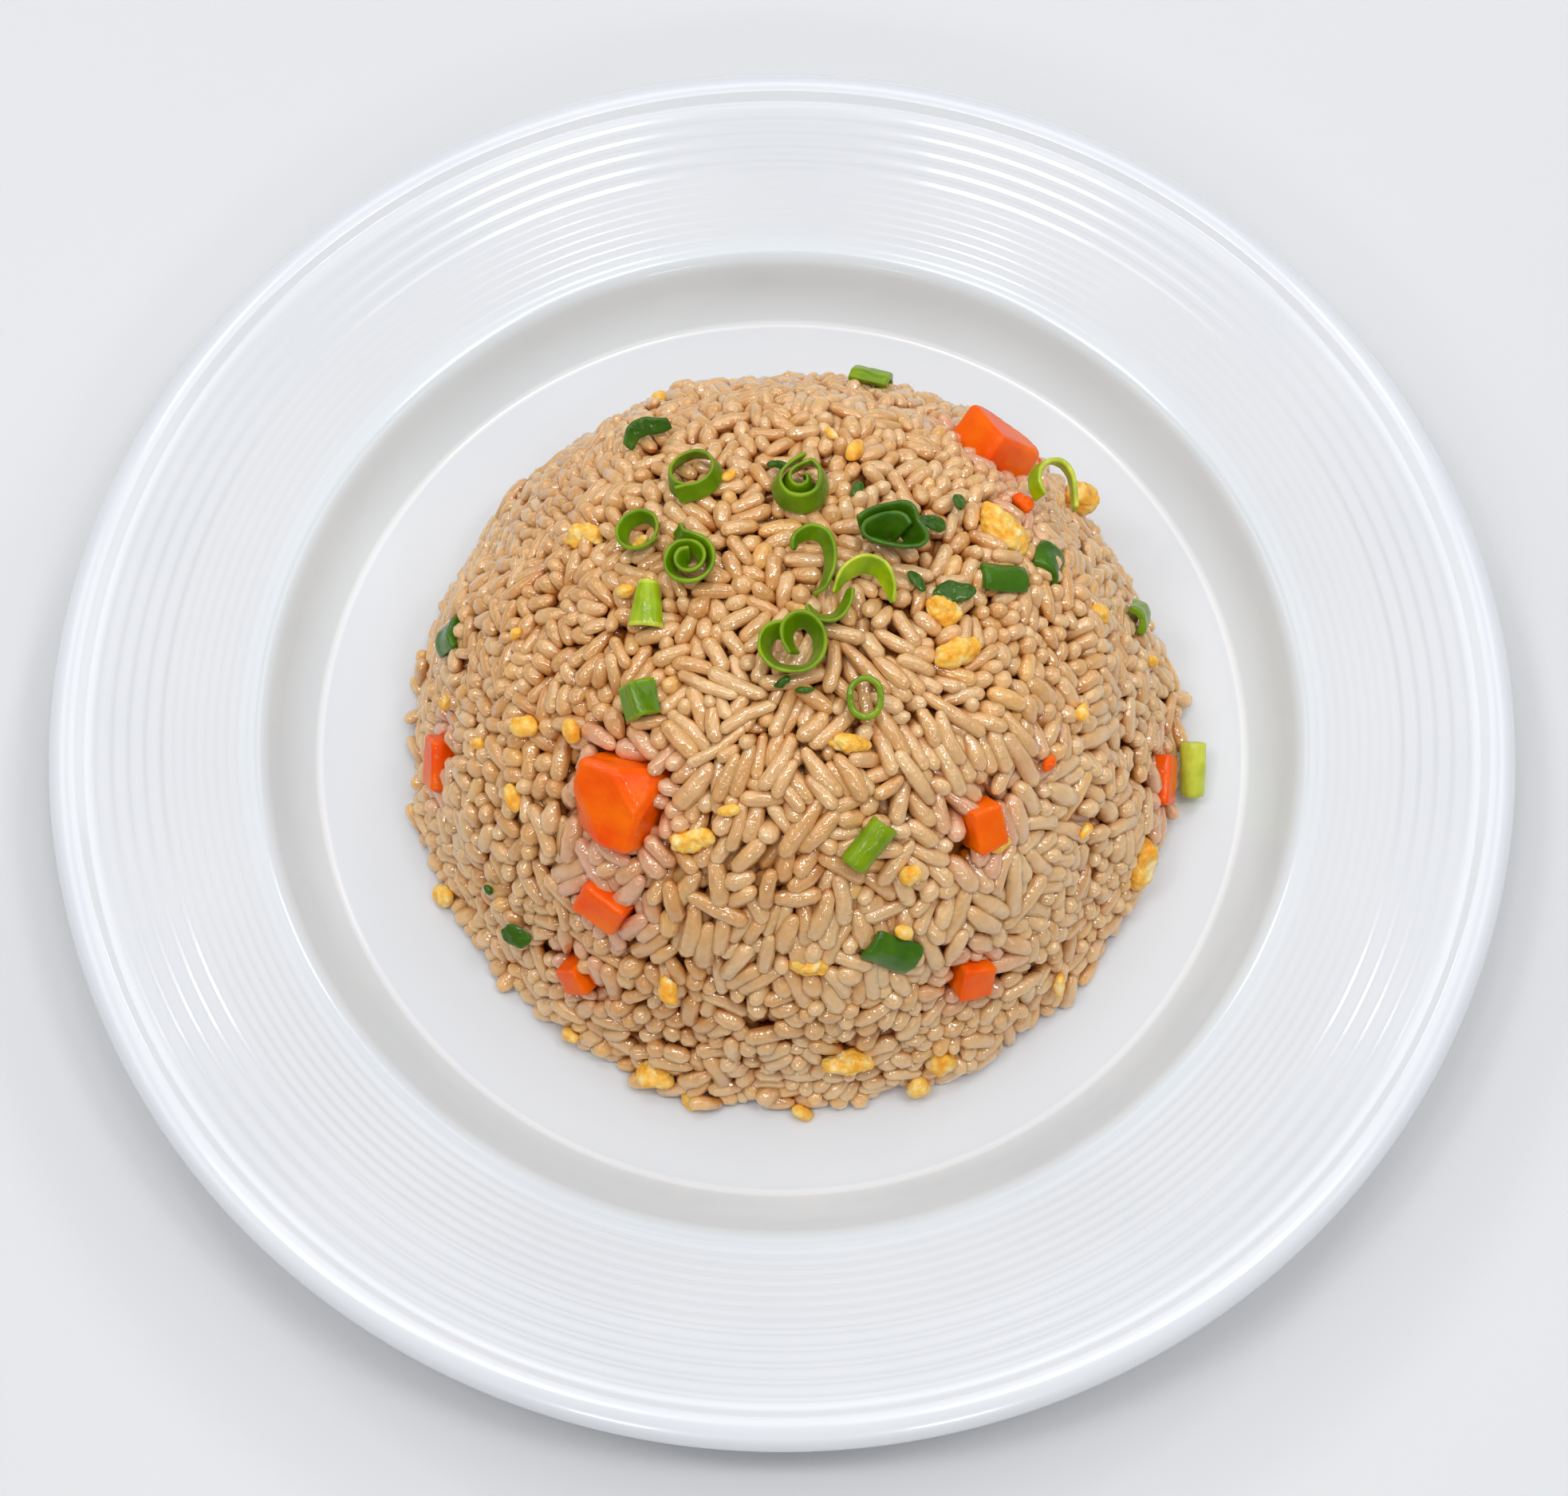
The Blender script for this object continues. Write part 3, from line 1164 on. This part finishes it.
def scattered(name, entries, draw, kind):
    """Crumbs of one kind, each turned its own way, joined in one mesh."""
    pieces = []
    for number, entry in enumerate(entries):
        bearing, latitude, size = entry[:3]
        turn = (draw.uniform(-0.4, 0.4), draw.uniform(-0.4, 0.4), draw.uniform(0.0, 6.28))
        wide = entry[3] * FLECK_WIDTH_FACTOR if len(entry) > 3 else size * draw.uniform(0.65, 0.9)
        thick = LEAF_THICKNESS if kind == "leaf" else CRUMB_THICKNESS * wide
        piece = blob(f"{name}_{number}", (size * LENGTH_FACTOR, wide, thick), turn)
        pieces.append(place_blob(piece, bearing, latitude, CRUMB_LIFTS[kind]))
    return settle(joined(pieces, name))


def make_crumbs(name, entries, draw, kind, material, slot, relief_size, relief):
    crumbs = scattered(name, entries, draw, kind)
    subdivide(crumbs, 1)
    add_displace(crumbs, relief_size * MM, relief * MM)
    apply_all(crumbs)
    bpy.ops.object.shade_smooth()
    return keep(crumbs, material, slot)


def make_topping(node_name, slot):
    """A solid's visible piece: carrot, egg, or a slice of scallion, curled or cut."""
    if node_name.startswith("carrot"):
        return make_carrot(node_name, carrot_material)
    if node_name.startswith("egg"):
        return make_egg(node_name, egg_material)
    own_name = node_name.removeprefix("scallion_")
    if own_name in CURLS:
        strip = curl("curled_" + own_name, **CURLS[own_name])
        return keep(strip, scallion_looks[slot], slot, node_name)
    look = "scallion" if own_name == "stalk_front" else slot
    return make_leaf(node_name, scallion_looks[look], slot)


# ---- what the grains rest against, and their colours ----

OBSTACLE_SPACING = 1.3


def thinned(points, spacing):
    """One point for each small cube of space that has any."""
    _, first = np.unique(np.floor(points / spacing).astype(int), axis=0, return_index=True)
    return points[np.sort(first)]


def skin_points(pieces):
    """Points spread over the pieces' skins, in millimetres."""
    return np.concatenate(
        [thinned(mesh_arrays(piece.data)[0] / MM, OBSTACLE_SPACING) for piece in pieces]
    )


def solid_tree(node_name):
    points, faces = mesh_arrays(frame["nodes"][node_name].data)
    return BVHTree.FromPolygons([Vector(point) / MM for point in points], faces)


def grain_shades(draw, grains, carrot_points):
    """Pale, deep, pink and yellow shares of each grain's colour."""
    centre = 0.5 * (grains["head"] + grains["tail"])
    count = len(centre)
    inside, _ = heap_depth(centre)
    pale = 0.45 + 0.14 * draw.normal(size=count) + 0.12 * smooth_noise(centre, 25.0, 3)
    pale += np.where(grains["fan"], 0.07, 0.0)
    pale += 0.3 * np.clip(1.0 - (centre[:, 2] - HEAP_BASE) / 40.0, 0.0, 1.0)
    deep = np.clip(0.08 + (inside - 1.6) / 3.2, 0.0, 1.0)
    near = np.full(count, 1e9)
    for start in range(0, count, 400):
        part = centre[start : start + 400]
        gap = np.sqrt(((part[:, None] - carrot_points[None]) ** 2).sum(2)).min(1)
        near[start : start + 400] = gap
    pink = np.clip((5.2 - near) / 3.5, 0.0, 1.0) * 0.55
    yellow = np.where(draw.uniform(size=count) < 0.03, 0.6, 0.0)
    foot = centre[:, 2] < HEAP_BASE + 4.0
    yellow[foot] = np.where(draw.uniform(size=foot.sum()) < 0.25, 0.5, yellow[foot])
    return np.column_stack((np.clip(pale, 0.0, 1.0), deep, pink, yellow))


# ---- build ----

floor_material = studio_floor()
rice_material = cooked_rice()
carrot_material = wet_carrot()
egg_material = soft_egg()
scallion_looks = {
    "scallion": scallion_skin("green_scallion", (0.105, 0.215, 0.0), (0.17, 0.28, 0.0)),
    "dark_scallion": scallion_skin("dark_scallion", (0.036, 0.105, 0.001), (0.045, 0.135, 0.003)),
    "pale_scallion": scallion_skin("pale_scallion", (0.27, 0.40, 0.002), (0.46, 0.53, 0.06)),
}

plate = keep(make_plate(), white_glaze(), "white_glaze", "plate")

slots = {entry["node"]: entry["material_slot"] for entry in frame["record"]["subparts"]}
topping_names = [name for name in sorted(frame["nodes"]) if name not in ("plate", "rice_heap")]
toppings = [make_topping(name, slots[name]) for name in topping_names]

crumb_draw = np.random.default_rng(7)
for name, entries, kind, material, slot, relief_size, relief in (
    ("egg_crumbs", EGG_CRUMBS, "egg", egg_material, "egg", 1.9, 1.0),
    ("leaf_flecks", LEAF_FLECKS, "leaf", scallion_looks["dark_scallion"], "dark_scallion", 1.6, 0.9),
    ("carrot_crumbs", CARROT_CRUMBS, "carrot", carrot_material, "carrot", 1.6, 0.9),
):
    toppings.append(
        make_crumbs(name, entries, crumb_draw, kind, material, slot, relief_size, relief)
    )

carrots = [piece for piece in toppings if "carrot" in piece.name]
draw = np.random.default_rng(41)
grains = pack_grains(draw, skin_points(toppings), [solid_tree(name) for name in topping_names])
shades = grain_shades(draw, grains, skin_points(carrots))
shapes = grain_shapes(draw)
whole_length = 2.0 * (grains["half"] + grains["radius"])
kinds = {
    "long_grains": ~grains["inner"] & (whole_length > 6.3),
    "middling_grains": ~grains["inner"] & (whole_length <= 6.3) & (whole_length > 5.0),
    "short_grains": ~grains["inner"] & (whole_length <= 5.0),
    "buried_grains": grains["inner"],
}
for name, chosen in kinds.items():
    piece = joined_grains(name, shapes, draw, chosen_grains(grains, chosen), shades[chosen])
    keep(piece, rice_material, "cooked_rice")
keep(make_core(), rice_core(), "cooked_rice", "rice_heap")

# ---- stage, light and camera ----

deselect()
bpy.ops.mesh.primitive_plane_add(size=6.0, location=(0.0, 0.0, -0.0005))
table_top = added("pale_floor")
settle(table_top)
table_top.data.materials.append(floor_material)


COOL = (0.93, 0.965, 1.0)
AIM = Vector((0.0, 0.0, 0.03))


def soft_light(name, place, size, power, colour=PLAIN):
    lamp = bpy.data.lights.new(name, "AREA")
    lamp.shape = "RECTANGLE"
    lamp.size = size[0]
    lamp.size_y = size[1]
    lamp.energy = power
    lamp.color = colour
    holder = bpy.data.objects.new(name, lamp)
    holder.location = place
    aim = AIM - Vector(place)
    holder.rotation_euler = aim.to_track_quat("-Z", "Y").to_euler()
    bpy.context.scene.collection.objects.link(holder)


soft_light("overhead", (0.0, 0.25, 1.3), (1.2, 1.0), 4.6)
for side, name in ((-1.0, "left"), (1.0, "right")):
    soft_light(name + "_box", (0.45 * side, -0.12, 1.12), (0.17, 0.17), 1.7)
    soft_light(name + "_front_box", (0.3 * side, -0.9, 0.85), (0.15, 0.15), 0.8)
    soft_light(name + "_small_box", (0.2 * side, -0.1, 1.2), (0.13, 0.13), 0.9)
    soft_light(name + "_back_box", (0.52 * side, 0.74, 0.95), (0.15, 0.15), 0.9)
    soft_light(name + "_window", (0.85 * side, 0.1, 0.85), (1.1, 0.3), 1.7, COOL)
soft_light("back_window", (0.0, 1.0, 0.85), (1.1, 0.3), 2.0, COOL)
soft_light("front_window", (0.0, -0.95, 0.8), (1.1, 0.3), 0.5, COOL)

world = bpy.data.worlds.new("studio")
bpy.context.scene.world = world
world.use_nodes = True
backdrop = world.node_tree.nodes["Background"]
backdrop.inputs["Color"].default_value = (0.95, 0.97, 1.0, 1.0)
backdrop.inputs["Strength"].default_value = 0.2

ELEVATION = math.radians(69.81)
CAMERA_DISTANCE = 0.5
SENSOR = 36.0
FOCAL_SHARE = 1.97742  # focal length, as a share of the frame's width
CAMERA_SHIFT = (0.00116989, -0.00727365)  # sideways and up, as shares of the frame's width
camera_data = bpy.data.cameras.new("camera")
camera_data.sensor_width = SENSOR
camera_data.lens = SENSOR * FOCAL_SHARE
camera_data.shift_x, camera_data.shift_y = CAMERA_SHIFT
camera = bpy.data.objects.new("camera", camera_data)
sight = Vector((0.0, -math.cos(ELEVATION), math.sin(ELEVATION)))
camera.location = Vector((0.0, 0.0, FLOOR * MM)) + sight * CAMERA_DISTANCE
camera.rotation_euler = (-sight).to_track_quat("-Z", "Y").to_euler()
bpy.context.scene.collection.objects.link(camera)
bpy.context.scene.camera = camera
bpy.context.scene.view_settings.view_transform = "Standard"
